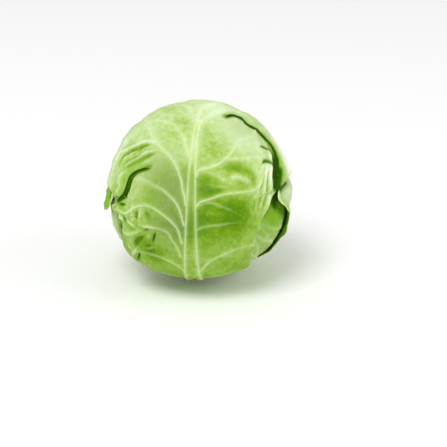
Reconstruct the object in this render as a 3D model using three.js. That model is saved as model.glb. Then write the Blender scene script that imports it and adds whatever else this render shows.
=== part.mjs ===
// A head of green cabbage standing upright on its cut stem.
//
// Each leaf is a thin closed shell laid over the ball of folded inner leaves. A leaf is drawn on a
// round chart: its middle is a direction from the centre of the head, a point of the leaf is an
// angle away from that middle and a bearing round it, and the leaf ends at its outline. The
// leaves are stacked inside a round head, from the outermost in. Each one is pressed in by the
// leaves over it and eases out past their margins, and its own bare margins turn outward.
import * as THREE from 'three';

const { degToRad, radToDeg, smoothstep, lerp, clamp } = THREE.MathUtils;

// Driving dimensions, in millimetres.
const HEAD_RADIUS = 83; // outside of the outermost leaf
const HEAD_MIDDLE = 78; // centre of the head above the surface that it stands on
const UNDERSIDE_RISE = 9; // how much flatter the head is below than a sphere
const UNDERSIDE_START = 0.58; // how far below its middle it starts to flatten, in head radii
const LEAF_THICKNESS = 0.9;
const LEAF_GAP = 1.5; // air between one leaf and the next
const BALL_GAP = 1.9; // and between the innermost of them and the ball
const SETTLE_START = 5; // past the margin of the leaf above, where a leaf starts to ease out
const SETTLE_LENGTH = 60; // and the length it takes to rise by one layer
const TURN_WIDTH = 16; // breadth of the margin that turns outward
const FLANK_FOOT = [-0.6, -0.2]; // heights over which the turned margins start, in head radii
const FLANK_TOP = [0.3, 0.7]; // and over which they end
const STEM_RADIUS = 16.5; // the cut face that the head stands on
const STEM_EDGE = 1.5; // softened edge of the cut
const STEM_STUMP = 14; // height of the stump below the ball
const CORE_RADIUS = 13; // core of the stem where it enters the ball
const CORE_TIP_RADIUS = 4;
const CORE_TOP = 92;
const CORE_CLEARANCE = 0.5;
const HOLE_MOUTH = degToRad(16); // half-angle of the ball's open foot, from its centre

// The grids, in cells across a leaf and steps round the turned solids.
const OUTER_CELLS = 18;
const INNER_CELLS = 17;
const TURNED_STEPS = 40;
const BALL_STEPS = 20;

const MIDDLE_RISE = 5; // degrees that the middle of a leaf lies above the head's equator
const BEARING_STEP = 15; // degrees of bearing between the values of an outline

// Outlines: how far a leaf reaches from its middle, in degrees of arc, at each bearing step from
// its tip, down one side, to its base at the stem. The near sides are those towards the front.
const FRONT_RIGHT_SIDE = [106, 104, 101, 99, 97, 84, 50, 42, 44, 54, 68, 78, 77];
const FRONT_LEFT_SIDE = [106, 104, 101, 98, 95, 83, 60, 58, 71, 79, 82, 82, 77];
const WRAPPER_SIDE = [104, 102, 98, 92, 86, 80, 76, 74, 74, 76, 80, 83, 77];
const BACK_RIGHT_NEAR_SIDE = [104, 102, 98, 92, 86, 81, 77, 67, 67, 73, 79, 83, 77];
const BACK_LEFT_NEAR_SIDE = [104, 102, 98, 92, 84, 71, 57, 54, 61, 72, 79, 83, 77];
const INNER_SIDE = [98, 96, 91, 85, 79, 74, 71, 70, 71, 74, 78, 82, 77];

const LEAF_GREEN = '#a9c76f';
const PALE_GREEN = '#bfd58b';
const HEART_GREEN = '#cfdc9d';
const BALL_CREAM = '#e3e8bd';
const STEM_CREAM = '#e4e3bf';
const LEAF_ROUGHNESS = 0.55;
const BALL_ROUGHNESS = 0.6;
const STEM_ROUGHNESS = 0.7;

// A leaf: its name, the way its middle faces in degrees round from the front, the outlines of its
// two sides, how far its bare margins turn outward in millimetres, and its colour.
function makeLeaf(name, azimuth, left, right, turn, color) {
  return { name, azimuth, left, right, turn, color, axes: leafAxes(azimuth) };
}

// The leaves from the innermost out.
const LEAVES = [
  makeLeaf('heart_leaf_rear_left', -160, INNER_SIDE, INNER_SIDE, 0, HEART_GREEN),
  makeLeaf('heart_leaf_right', 62, INNER_SIDE, INNER_SIDE, 0, HEART_GREEN),
  makeLeaf('heart_leaf_left', -52, INNER_SIDE, INNER_SIDE, 0, HEART_GREEN),
  makeLeaf('rear_leaf', 172, WRAPPER_SIDE, WRAPPER_SIDE, 1, PALE_GREEN),
  makeLeaf('left_leaf', -82, WRAPPER_SIDE, WRAPPER_SIDE, 1, PALE_GREEN),
  makeLeaf('right_leaf', 84, WRAPPER_SIDE, WRAPPER_SIDE, 1, PALE_GREEN),
  makeLeaf('back_left_leaf', -136, WRAPPER_SIDE, BACK_LEFT_NEAR_SIDE, 4, PALE_GREEN),
  makeLeaf('back_right_leaf', 136, BACK_RIGHT_NEAR_SIDE, WRAPPER_SIDE, 4, PALE_GREEN),
  makeLeaf('front_leaf', 0, FRONT_LEFT_SIDE, FRONT_RIGHT_SIDE, 2, LEAF_GREEN),
];
const FIRST_OUTER = 3; // the leaves from here on are drawn on the finer grid

// Distance from the head's centre to its outside: a sphere, flatter towards the stem.
function headRadius(direction) {
  return HEAD_RADIUS - UNDERSIDE_RISE * smoothstep(-direction.z, UNDERSIDE_START, 1);
}

// A leaf's own axes: out through its middle, up towards its tip, and to its right.
function leafAxes(azimuth) {
  const a = degToRad(azimuth);
  const e = degToRad(MIDDLE_RISE);
  const middle = new THREE.Vector3(Math.sin(a) * Math.cos(e), -Math.cos(a) * Math.cos(e), Math.sin(e));
  const tip = new THREE.Vector3(-Math.sin(a) * Math.sin(e), Math.cos(a) * Math.sin(e), Math.cos(e));
  const right = new THREE.Vector3().crossVectors(tip, middle);
  return { middle, tip, right };
}

// Reach of the leaf at a bearing from its tip, positive to its right, by a smooth curve
// through the outline's values.
function reach(leaf, bearing) {
  const side = bearing < 0 ? leaf.left : leaf.right;
  const other = bearing < 0 ? leaf.right : leaf.left;
  const last = side.length - 1;
  const at = Math.min(Math.abs(radToDeg(bearing)) / BEARING_STEP, last);
  const i = Math.min(Math.floor(at), last - 1);
  const t = at - i;
  const before = i > 0 ? side[i - 1] : other[1];
  const after = i + 2 <= last ? side[i + 2] : other[last - 1];
  const slopeIn = (side[i + 1] - before) / 2;
  const slopeOut = (after - side[i]) / 2;
  const t2 = t * t;
  const t3 = t2 * t;
  const value = (2 * t3 - 3 * t2 + 1) * side[i] + (t3 - 2 * t2 + t) * slopeIn
    + (3 * t2 - 2 * t3) * side[i + 1] + (t3 - t2) * slopeOut;
  return degToRad(value);
}

// How far outside a leaf's margin a direction lies, in millimetres of arc; inside it is negative.
function distancePastMargin(leaf, direction) {
  const arc = Math.acos(clamp(direction.dot(leaf.axes.middle), -1, 1));
  const bearing = Math.atan2(direction.dot(leaf.axes.right), direction.dot(leaf.axes.tip));
  return (arc - reach(leaf, bearing)) * HEAD_RADIUS;
}

// 1 over a leaf and 0 well outside it.
function cover(leaf, direction, start, length) {
  return 1 - smoothstep(distancePastMargin(leaf, direction), start, start + length);
}

// Distance from the head's centre to the inner face of leaf number k. The leaves from k outward
// are pressed inside the head's round outside, each a thickness and a gap below the next.
function leafRadius(k, direction) {
  let radius = headRadius(direction);
  for (let j = k; j < LEAVES.length; j += 1) {
    const over = j === k ? 1 : cover(LEAVES[j], direction, SETTLE_START, SETTLE_LENGTH);
    radius -= (LEAF_THICKNESS + LEAF_GAP) * over;
  }
  return radius + LEAF_GAP;
}

// The ball of inner leaves lies below them all.
function ballRadius(direction) {
  return leafRadius(0, direction) - BALL_GAP
    + (LEAF_THICKNESS + LEAF_GAP) * (1 - cover(LEAVES[0], direction, SETTLE_START, SETTLE_LENGTH));
}

// How far the bare margin of leaf number k turns outward at a direction, round the head's flanks.
function turnOut(k, direction) {
  let bare = smoothstep(direction.z, ...FLANK_FOOT) - smoothstep(direction.z, ...FLANK_TOP);
  for (let j = k + 1; j < LEAVES.length; j += 1) {
    bare *= 1 - cover(LEAVES[j], direction, TURN_WIDTH / 2, TURN_WIDTH);
  }
  const inside = -distancePastMargin(LEAVES[k], direction);
  return LEAVES[k].turn * bare * (1 - smoothstep(inside, 0, TURN_WIDTH)) ** 2;
}

// A leaf is a square grid bent to a disc, its inner and outer faces joined round the margin.
function leafGeometry(k) {
  const leaf = LEAVES[k];
  const cells = k < FIRST_OUTER ? INNER_CELLS : OUTER_CELLS;
  const across = cells + 1;
  const points = [];
  for (const lift of [0, LEAF_THICKNESS]) {
    for (let row = 0; row <= cells; row += 1) {
      for (let column = 0; column <= cells; column += 1) {
        const u = lerp(-1, 1, column / cells);
        const v = lerp(-1, 1, row / cells);
        const x = u * Math.sqrt(1 - v * v / 2);
        const y = v * Math.sqrt(1 - u * u / 2);
        const bearing = Math.atan2(x, y);
        const arc = Math.hypot(x, y) * reach(leaf, bearing);
        const direction = leaf.axes.middle.clone().multiplyScalar(Math.cos(arc))
          .addScaledVector(leaf.axes.tip, Math.sin(arc) * Math.cos(bearing))
          .addScaledVector(leaf.axes.right, Math.sin(arc) * Math.sin(bearing));
        const radius = leafRadius(k, direction) + turnOut(k, direction) + lift;
        points.push(direction.x * radius, direction.y * radius, direction.z * radius + HEAD_MIDDLE);
      }
    }
  }
  const outer = across * across; // number of the first point of the outer face
  const faces = [];
  const quad = (a, b, c, d) => faces.push(a, b, c, a, c, d);
  for (let row = 0; row < cells; row += 1) {
    for (let column = 0; column < cells; column += 1) {
      const a = row * across + column;
      quad(outer + a, outer + a + 1, outer + a + across + 1, outer + a + across);
      quad(a, a + across, a + across + 1, a + 1);
    }
  }
  for (let i = 0; i < cells; i += 1) {
    const bottom = i;
    const top = cells * across + i;
    const left = i * across;
    const right = left + cells;
    quad(bottom, bottom + 1, outer + bottom + 1, outer + bottom);
    quad(top + 1, top, outer + top, outer + top + 1);
    quad(left + across, left, outer + left, outer + left + across);
    quad(right, right + across, outer + right + across, outer + right);
  }
  const geometry = new THREE.BufferGeometry();
  geometry.setAttribute('position', new THREE.Float32BufferAttribute(points, 3));
  geometry.setIndex(faces);
  geometry.computeVertexNormals();
  return geometry;
}

// A profile in the X and Y of a turned solid, spun round the head's upright axis.
function turned(profile) {
  const geometry = new THREE.LatheGeometry(profile, TURNED_STEPS);
  geometry.rotateX(Math.PI / 2);
  return geometry;
}

// The stump and core: cut face, softened edge, stump, shoulder, tapered core and blunt tip.
function stemGeometry() {
  return turned([
    new THREE.Vector2(0, 0),
    new THREE.Vector2(STEM_RADIUS - STEM_EDGE, 0),
    new THREE.Vector2(STEM_RADIUS, STEM_EDGE),
    new THREE.Vector2(STEM_RADIUS, STEM_STUMP - STEM_EDGE),
    new THREE.Vector2(CORE_RADIUS, STEM_STUMP),
    new THREE.Vector2(CORE_TIP_RADIUS, CORE_TOP),
    new THREE.Vector2(CORE_TIP_RADIUS / 2, CORE_TOP + CORE_TIP_RADIUS / 2),
    new THREE.Vector2(0, CORE_TOP + CORE_TIP_RADIUS / 2),
  ]);
}

// The ball, with a tapered hole up its middle, open below, that the core fills. It is turned
// round, and then each point of its skin is set at the ball's own radius.
function ballGeometry() {
  const holeTop = CORE_TOP + CORE_TIP_RADIUS / 2 + CORE_CLEARANCE;
  const profile = [
    new THREE.Vector2(0, holeTop),
    new THREE.Vector2(CORE_TIP_RADIUS + CORE_CLEARANCE, holeTop),
    new THREE.Vector2(CORE_RADIUS + CORE_CLEARANCE, STEM_STUMP + CORE_CLEARANCE),
  ];
  const holePoints = profile.length;
  for (let i = 0; i <= BALL_STEPS; i += 1) {
    const angle = lerp(HOLE_MOUTH, Math.PI, i / BALL_STEPS); // from straight down
    const out = i < BALL_STEPS ? Math.sin(angle) : 0;
    profile.push(new THREE.Vector2(out, -Math.cos(angle)));
  }
  const geometry = turned(profile);
  const points = geometry.attributes.position;
  const direction = new THREE.Vector3();
  for (let i = 0; i < points.count; i += 1) {
    if (i % profile.length < holePoints) continue;
    direction.fromBufferAttribute(points, i);
    const radius = ballRadius(direction);
    points.setXYZ(i, direction.x * radius, direction.y * radius, direction.z * radius + HEAD_MIDDLE);
  }
  return geometry;
}

// A named mesh with its colour and roughness.
function piece(name, geometry, color, roughness) {
  const mesh = new THREE.Mesh(geometry, new THREE.MeshStandardMaterial({ color, roughness, metalness: 0 }));
  mesh.name = name;
  return mesh;
}

const head = new THREE.Group();
head.add(piece('stem', stemGeometry(), STEM_CREAM, STEM_ROUGHNESS));
head.add(piece('inner_head', ballGeometry(), BALL_CREAM, BALL_ROUGHNESS));
LEAVES.forEach((leaf, k) => head.add(piece(leaf.name, leafGeometry(k), leaf.color, LEAF_ROUGHNESS)));

// The origin is at the middle of the head's plan, on the surface that it stands on.
const plan = new THREE.Box3().setFromObject(head).getCenter(new THREE.Vector3());
head.position.set(-plan.x, -plan.y, 0);
head.updateMatrixWorld(true);

export default head;
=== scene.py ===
import math
from collections import namedtuple

import bpy
import numpy as np
from mathutils import Matrix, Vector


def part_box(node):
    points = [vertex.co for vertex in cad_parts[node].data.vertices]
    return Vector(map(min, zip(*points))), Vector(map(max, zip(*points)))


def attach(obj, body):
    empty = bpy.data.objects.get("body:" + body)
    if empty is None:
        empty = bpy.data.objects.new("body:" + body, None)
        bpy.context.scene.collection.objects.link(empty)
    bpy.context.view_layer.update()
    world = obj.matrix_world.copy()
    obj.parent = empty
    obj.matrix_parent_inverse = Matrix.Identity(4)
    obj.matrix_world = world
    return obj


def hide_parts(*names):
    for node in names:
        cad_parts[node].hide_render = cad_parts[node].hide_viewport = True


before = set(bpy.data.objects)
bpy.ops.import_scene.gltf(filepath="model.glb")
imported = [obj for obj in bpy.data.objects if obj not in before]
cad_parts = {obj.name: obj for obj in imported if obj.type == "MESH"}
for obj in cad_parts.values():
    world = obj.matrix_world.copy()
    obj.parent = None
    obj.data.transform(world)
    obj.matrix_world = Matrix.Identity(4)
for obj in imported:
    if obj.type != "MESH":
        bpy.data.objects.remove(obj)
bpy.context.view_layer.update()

MM = 0.001

# The head, as the frame has it: a sphere with a flatter underside, under leaves of one thickness.
HEAD_RADIUS = 83.0
HEAD_MIDDLE = 78.0
UNDERSIDE_RISE = 9.0
UNDERSIDE_START = 0.58
LEAF_THICKNESS = 0.9
LEAF_GAP = 1.5
BALL_GAP = 1.9
# Past a margin the leaves under it settle outward over a length. The margin itself turns outward
# round the head's flanks, which lie between two bands of height, and puts painted shade on a narrow strip
# past it.
SETTLE_START = 5.0
SETTLE_LENGTH = 60.0
TURN_WIDTH = 16.0
SHADE_WIDTH = 2.6
FLANK_FOOT = (-0.6, -0.2)
FLANK_TOP = (0.3, 0.7)
# The leaves' charts: how far each middle lies above level in degrees, the rounding of the broad
# outline, the outlines' bearing step, and the even points and steps of the margin's line.
MIDDLE_RISE = 5.0
BROAD_ROUNDING = 4.5
BEARING_STEP = 15.0
MARGIN_POINTS = 289
MARGIN_STEP = 2.5
# Grid cells along each side of a leaf.
FRONT_CELLS = 220
WRAPPER_CELLS = {"rear_leaf": 120, "left_leaf": 150, "right_leaf": 150, "back_left_leaf": 190,
                 "back_right_leaf": 190}
HEART_CELLS = 70

# Outlines: the reach of a leaf from its middle, in degrees, at each bearing step from its tip down
# one side to its base. Sides with lobes and notches give (bearing, reach).
INNER_SIDE = [98, 96, 91, 85, 79, 74, 71, 70, 71, 74, 78, 82, 77]
WRAPPER_SIDE = [104, 102, 98, 92, 86, 80, 76, 74, 74, 76, 80, 83, 77]
BACK_RIGHT_NEAR_SIDE = [
    (0, 104), (15, 102), (30, 98), (45, 93), (60, 85), (70, 79), (75, 76.5), (77.5, 75.6), (79, 76.2),
    (80.5, 77.6), (82.5, 79.2), (85, 80.2), (87.5, 79.4), (90, 76.8), (92, 73.6), (95.4, 69.5),
    (100, 66), (106, 63.5), (112, 63), (122, 66), (135, 73), (150, 81), (165, 82), (180, 77),
]
BACK_LEFT_NEAR_SIDE = [
    (0, 104), (15, 102), (30, 98), (45, 92), (60, 84), (70, 76), (76, 69), (80, 64), (82.4, 65.5),
    (84.3, 66), (87, 66.5), (91, 66.5), (96, 65.5), (99.5, 62.5), (102, 56), (104.5, 45), (108, 38.5),
    (113, 37), (118, 38), (124, 43), (131, 52), (140, 62), (150, 71), (165, 77), (180, 77),
]
FRONT_RIGHT_SIDE = [
    (0, 106), (15, 104), (30, 101), (45, 99), (60, 97), (70, 94), (74.6, 90), (75.4, 85), (76.1, 75.5),
    (76.8, 66), (77.6, 58), (78.5, 53.6), (79.7, 51.2), (81.2, 49.4), (83.6, 47.2), (87, 45.3),
    (91.3, 43.8), (94.5, 41.9), (98.2, 40.5), (102.8, 39.6), (107.8, 39.2), (118, 40), (130, 46),
    (140, 56), (150, 66), (165, 77), (180, 77),
]
FRONT_LEFT_SIDE = [
    (0, 106), (15, 104), (30, 101), (45, 98), (60, 94), (70, 91), (77, 86), (80.2, 81), (81.0, 75),
    (81.6, 66), (82.2, 58.8), (83.2, 57.8), (85, 58.6), (87, 60), (89.1, 61.6), (91.5, 63.7),
    (93.6, 65), (94.5, 62), (95.1, 57.6), (97.2, 54.6), (100.5, 53.6), (103.9, 53.8), (108.1, 56.8),
    (112.7, 61.5), (116.1, 64), (120, 66.3), (125, 69.5), (131, 73), (137, 78), (150, 82), (165, 82),
    (180, 77),
]

# The camera, and the circle that the head fills in its square view, in pixels.
VIEW_SIZE = 447
HEAD_CIRCLE_X = 198.8
HEAD_CIRCLE_Y = 192.8
HEAD_CIRCLE_RADIUS = 92.6
CAMERA_DISTANCE = 1500.0
CAMERA_RISE = math.radians(20)
SENSOR_WIDTH = 36.0

stem_low, stem_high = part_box("stem")
MIDDLE = np.array([(stem_low.x + stem_high.x) / 2 / MM, (stem_low.y + stem_high.y) / 2 / MM, HEAD_MIDDLE])
STEM_RADIUS = (stem_high.x - stem_low.x) / 2 / MM

TO_CAMERA = np.array([0, -math.cos(CAMERA_RISE), math.sin(CAMERA_RISE)])
VIEW_RIGHT = np.array([1.0, 0, 0])
VIEW_UP = np.array([0, math.sin(CAMERA_RISE), math.cos(CAMERA_RISE)])
# Focal length in pixels that gives the head's sphere its circle in the view.
FOCAL_PIXELS = HEAD_CIRCLE_RADIUS * math.sqrt(CAMERA_DISTANCE**2 - HEAD_RADIUS**2) / HEAD_RADIUS


# ---------------------------------------------------------------- small tools

def smooth(x, low, high):
    """0 up to low, 1 from high, and the cubic 3t^2 - 2t^3 between them."""
    t = np.clip((x - low) / (high - low), 0, 1)
    return t * t * (3 - 2 * t)


def unit(v):
    """Each vector over its own length."""
    return v / np.maximum(np.linalg.norm(v, axis=-1, keepdims=True), 1e-12)


def waves(d, size, seed, count=14):
    """Soft noise about -1 to 1: a mean of sine waves of about one length, in random directions."""
    rng = np.random.default_rng(seed)
    heading = unit(rng.normal(size=(count, 3)))
    length = size * rng.uniform(0.7, 1.5, count)
    phase = rng.uniform(0, 2 * math.pi, count)
    angle = d.reshape(-1, 3) @ (heading * (2 * math.pi * HEAD_RADIUS / length)[:, None]).T + phase
    return (np.sin(angle).sum(1) * math.sqrt(2 / count) * 0.7).reshape(d.shape[:-1])


def on_head(pixels):
    """Directions to where points of the view lie on the head: the ray through each meets its sphere."""
    p = np.array(pixels, float)
    x = p[:, 0] - HEAD_CIRCLE_X
    y = HEAD_CIRCLE_Y - p[:, 1]
    inside = np.minimum(1, 0.998 * HEAD_CIRCLE_RADIUS / np.maximum(np.hypot(x, y), 1e-9))
    ray = unit(VIEW_RIGHT * (x * inside)[:, None] + VIEW_UP * (y * inside)[:, None]
               - TO_CAMERA * FOCAL_PIXELS)
    eye = TO_CAMERA * CAMERA_DISTANCE
    toward = ray @ eye
    reach_to = -toward - np.sqrt(np.maximum(toward**2 - CAMERA_DISTANCE**2 + HEAD_RADIUS**2, 0))
    return unit(eye + ray * reach_to[:, None])


class Curve:
    """A smooth line over the head through given directions: Catmull-Rom pieces in even steps."""

    def __init__(self, directions, step=1.2):
        p = np.vstack([2 * directions[0] - directions[1], directions, 2 * directions[-1] - directions[-2]])
        pieces = []
        for i in range(1, len(p) - 2):
            length = np.linalg.norm(p[i + 1] - p[i]) * HEAD_RADIUS
            t = np.linspace(0, 1, max(2, int(length / step)), endpoint=False)[:, None]
            pieces.append(0.5 * (2 * p[i] + (p[i + 1] - p[i - 1]) * t
                                 + (2 * p[i - 1] - 5 * p[i] + 4 * p[i + 1] - p[i + 2]) * t**2
                                 + (3 * p[i] - p[i - 1] - 3 * p[i + 1] + p[i + 2]) * t**3))
        pieces.append(p[-2:-1])
        self.points = unit(np.vstack(pieces))
        steps = np.linalg.norm(np.diff(self.points, axis=0), axis=1) * HEAD_RADIUS
        self.along = np.concatenate([[0], np.cumsum(steps)])
        self.length = self.along[-1]
        self.tangent = unit(np.gradient(self.points, axis=0))
        self.left = unit(np.cross(self.points, self.tangent))

    def near(self, d):
        """For each direction: how far it is to the left of the line, how far along, and how far away,
        all from the nearest place on the line's straight pieces."""
        flat = d.reshape(-1, 3)
        nearest = np.argmax(flat @ self.points.T, axis=1)
        best = None
        for start in (np.maximum(nearest - 1, 0), np.minimum(nearest, len(self.points) - 2)):
            run = self.points[start + 1] - self.points[start]
            offset = flat - self.points[start]
            t = np.clip((offset * run).sum(1) / (run * run).sum(1), 0, 1)
            offset -= run * t[:, None]
            side = self.left[start] * (1 - t)[:, None] + self.left[start + 1] * t[:, None]
            found = np.stack([(offset * side).sum(1) * HEAD_RADIUS,
                              self.along[start] * (1 - t) + self.along[start + 1] * t,
                              np.linalg.norm(offset, axis=1) * HEAD_RADIUS])
            best = found if best is None else np.where(found[2] < best[2], found, best)
        left, along, away = best.reshape(3, *d.shape[:-1])
        return left, along, away


def stroke(d, half, pixels):
    """A soft line of a half-width along points of the view: exp(-(distance / half)^2)."""
    return np.exp(-((Curve(on_head(pixels)).near(d)[2] / half) ** 2))


def spot(d, pixel, radius):
    """A soft round patch about a point of the view: exp(-(distance / radius)^2)."""
    gap = np.linalg.norm(d - on_head([pixel])[0], axis=-1) * HEAD_RADIUS
    return np.exp(-((gap / radius) ** 2))


def patches(rows, d):
    """The sum of soft round patches, from rows of (amount, view point, radius)."""
    total = np.zeros(d.shape[:-1])
    for amount, pixel, radius in rows:
        total += amount * spot(d, pixel, radius)
    return total


# ---------------------------------------------------------------- the leaves' places

class Leaf:
    """A leaf's place: its axes from the way it faces, and the ring of its reach round its middle."""

    def __init__(self, name, azimuth, left, right, turn, rounding=3.0):
        a, e = math.radians(azimuth), math.radians(MIDDLE_RISE)
        self.name = name
        self.rounding = rounding
        self.turn = turn
        self.middle = np.array([math.sin(a) * math.cos(e), -math.cos(a) * math.cos(e), math.sin(e)])
        self.tip = np.array([-math.sin(a) * math.sin(e), math.cos(a) * math.sin(e), math.cos(e)])
        self.right = np.cross(self.tip, self.middle)
        ring = np.array(placed(right) + [(360 - at, reach) for at, reach in placed(left)[-2:0:-1]], float)
        self.at, self.ring = np.radians(ring).T
        # The margin's line has its points evenly along it, so that it follows the notches closely.
        around = np.linspace(0, 2 * math.pi, 10 * (MARGIN_POINTS - 1) + 1)
        steps = np.linalg.norm(np.diff(self.direction(self.reach(around), around), axis=0), axis=1)
        along = np.concatenate([[0], np.cumsum(steps)])
        even = np.interp(np.linspace(0, along[-1], MARGIN_POINTS), along, around)
        self.margin = Curve(self.direction(self.reach(even), even), MARGIN_STEP)

    def reach(self, bearing, rounding=None):
        """Arc from the middle to the margin: straight runs between the ring's reaches, rounded by a
        mean over bearings within a few degrees."""
        near = np.radians(np.array([-4.5, -3.0, -1.5, 0, 1.5, 3.0, 4.5]) * (rounding or self.rounding))
        share = np.array([1, 3, 5, 6, 5, 3, 1]) / 24
        bearings = np.asarray(bearing)[..., None] + near
        return np.interp(bearings, self.at, self.ring, period=2 * math.pi) @ share

    def chart(self, d):
        """Arc from the leaf's middle and bearing from its tip, for each direction."""
        arc = np.arccos(np.clip(d @ self.middle, -1, 1))
        return arc, np.arctan2(d @ self.right, d @ self.tip)

    def direction(self, arc, bearing):
        """The direction at an arc and a bearing."""
        arc, bearing = np.asarray(arc)[..., None], np.asarray(bearing)[..., None]
        return (self.middle * np.cos(arc) + self.tip * np.sin(arc) * np.cos(bearing)
                + self.right * np.sin(arc) * np.sin(bearing))

    def past_margin(self, d):
        """How far outside the margin a direction is, in millimetres; inside it is negative."""
        arc, bearing = self.chart(d)
        _, _, away = self.margin.near(d)
        return np.where(arc > self.reach(bearing), away, -away)


def placed(side):
    """A side's reaches with their bearings, in even steps unless it gives them."""
    if isinstance(side[0], tuple):
        return side
    return [(i * BEARING_STEP, reach) for i, reach in enumerate(side)]


def cover(past, start, length):
    """1 over a leaf and 0 well past its margin."""
    return 1 - smooth(past, start, start + length)


LEAVES = [
    Leaf("heart_leaf_rear_left", -160, INNER_SIDE, INNER_SIDE, 0),
    Leaf("heart_leaf_right", 62, INNER_SIDE, INNER_SIDE, 0),
    Leaf("heart_leaf_left", -52, INNER_SIDE, INNER_SIDE, 0),
    Leaf("rear_leaf", 172, WRAPPER_SIDE, WRAPPER_SIDE, 1),
    Leaf("left_leaf", -82, WRAPPER_SIDE, WRAPPER_SIDE, 1),
    Leaf("right_leaf", 84, WRAPPER_SIDE, WRAPPER_SIDE, 1),
    Leaf("back_left_leaf", -136, WRAPPER_SIDE, BACK_LEFT_NEAR_SIDE, 0.2, 1.0),
    Leaf("back_right_leaf", 136, BACK_RIGHT_NEAR_SIDE, WRAPPER_SIDE, 1.5, 1.0),
    Leaf("front_leaf", 0, FRONT_LEFT_SIDE, FRONT_RIGHT_SIDE, 1, 0.4),
]
FRONT = LEAVES[-1]


def head_radius(d):
    """A sphere, flatter towards the stem."""
    return HEAD_RADIUS - UNDERSIDE_RISE * smooth(-d[..., 2], UNDERSIDE_START, 1)


def layers_over(k, d):
    """How many of the leaves after leaf k lie over each direction, each fading out past its margin,
    the share (0 to 1) of leaf k that is bare there, and how much painted shade a margin right over it puts
    there."""
    count, share, shade = np.zeros(d.shape[:-1]), np.ones(d.shape[:-1]), np.zeros(d.shape[:-1])
    width = SHADE_WIDTH + patches(WIDE_SHADES.get(LEAVES[k].name, []), d)
    for leaf in LEAVES[k + 1:]:
        past = leaf.past_margin(d)
        count += cover(past, SETTLE_START, SETTLE_LENGTH)
        share *= 1 - cover(past, 0.0, TURN_WIDTH)
        shade = np.maximum(shade, cover(past, 0.6, width))
    return count, share, shade


def turn_out(leaf, d, inside, shown):
    """How far a leaf's bare margin turns outward, round the head's flanks."""
    flank = smooth(d[..., 2], *FLANK_FOOT) - smooth(d[..., 2], *FLANK_TOP)
    return leaf.turn * flank * shown * (1 - smooth(inside, 0, TURN_WIDTH)) ** 2


# ---------------------------------------------------------------- meshes

def leaf_grid(leaf, cells, ripple):
    """Directions of a square grid bent to the leaf's disc: u, v in the square go to
    (u sqrt(1 - v^2/2), v sqrt(1 - u^2/2)) in the disc, whose rim is the leaf's margin. The margin's
    lobes and notches die away inward with the square of the share of the way out."""
    side = np.linspace(-1, 1, cells + 1)
    u, v = np.meshgrid(side, side)
    x, y = u * np.sqrt(1 - v * v / 2), v * np.sqrt(1 - u * u / 2)
    bearing = np.arctan2(x, y)
    share = np.hypot(x, y)
    broad = leaf.reach(bearing, BROAD_ROUNDING)
    lobes = (leaf.reach(bearing) - broad) * share**2
    arc = share * (broad + lobes + share**6 * ripple(bearing) / HEAD_RADIUS)
    return leaf.direction(arc, bearing), arc, bearing


# A grid is sheared below the first sine of the angle between its rows and columns, not above the next.
SHEARED = (0.12, 0.35)


def normals_of(points):
    """Unit normals of a grid of points, from the differences along its rows and columns. Where the
    grid is sheared thin, they turn to the direction out of the head's middle."""
    across = np.gradient(points, axis=1)
    up = np.gradient(points, axis=0)
    normal = np.cross(across, up)
    size = np.linalg.norm(normal, axis=-1, keepdims=True)
    sides = np.linalg.norm(across, axis=-1, keepdims=True) * np.linalg.norm(up, axis=-1, keepdims=True)
    square = smooth(size / np.maximum(sides, 1e-9), *SHEARED)
    return unit(normal / np.maximum(size, 1e-9) * square + unit(points - MIDDLE) * (1 - square))


def shell_mesh(name, outer, thickness, fields, chart):
    """A closed leaf from a grid of outer points: the inner face lies a thickness inside along the
    normals, and strips round the margin join the two. fields are point attributes, chart the UVs."""
    rows, columns = outer.shape[:2]
    inner = outer - normals_of(outer) * thickness[..., None]
    points = np.concatenate([outer.reshape(-1, 3), inner.reshape(-1, 3)]) * MM
    count = rows * columns
    n = np.arange(count).reshape(rows, columns)
    a, b, c, d = n[:-1, :-1], n[:-1, 1:], n[1:, 1:], n[1:, :-1]
    faces = [np.stack([a, b, c, d], -1).reshape(-1, 4),
             np.stack([a, d, c, b], -1).reshape(-1, 4) + count]
    loop = np.concatenate([n[0, :-1], n[:-1, -1], n[-1, :0:-1], n[:0:-1, 0]])
    onward = np.roll(loop, -1)
    faces.append(np.stack([loop, loop + count, onward + count, onward], -1))
    faces = np.concatenate(faces)
    piece = mesh_object(name, points, faces)
    inside = np.concatenate([np.zeros(count), np.ones(count)])
    add_field(piece, "inside", inside)
    for field, values in fields.items():
        add_field(piece, field, np.tile(values.ravel(), 2))
    layer = piece.data.uv_layers.new(name="LeafChart")
    uv = np.tile(chart.reshape(-1, 2), (2, 1))
    layer.data.foreach_set("uv", uv[faces.ravel()].astype(np.float32).ravel())
    return piece


def mesh_object(name, points, faces, caps=np.zeros((0, 3), int)):
    """A smooth-shaded mesh object at the origin, from points in metres, four-sided faces and
    three-sided caps."""
    mesh = bpy.data.meshes.new(name)
    mesh.vertices.add(len(points))
    mesh.vertices.foreach_set("co", points.astype(np.float32).ravel())
    mesh.loops.add(faces.size + caps.size)
    corners = np.concatenate([faces.ravel(), caps.ravel()])
    mesh.loops.foreach_set("vertex_index", corners.astype(np.int32))
    mesh.polygons.add(len(faces) + len(caps))
    starts = np.concatenate([np.arange(len(faces)) * 4, faces.size + np.arange(len(caps)) * 3])
    mesh.polygons.foreach_set("loop_start", starts.astype(np.int32))
    mesh.update(calc_edges=True)
    mesh.polygons.foreach_set("use_smooth", np.ones(len(mesh.polygons), bool))
    mesh.validate()
    piece = bpy.data.objects.new(name, mesh)
    bpy.context.scene.collection.objects.link(piece)
    return piece


def add_field(piece, name, values):
    """A number at each point of a piece, for its material to read."""
    field = piece.data.attributes.new(name, "FLOAT", "POINT")
    field.data.foreach_set("value", values.astype(np.float32))


# ---------------------------------------------------------------- ribs, folds and pleats

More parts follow.
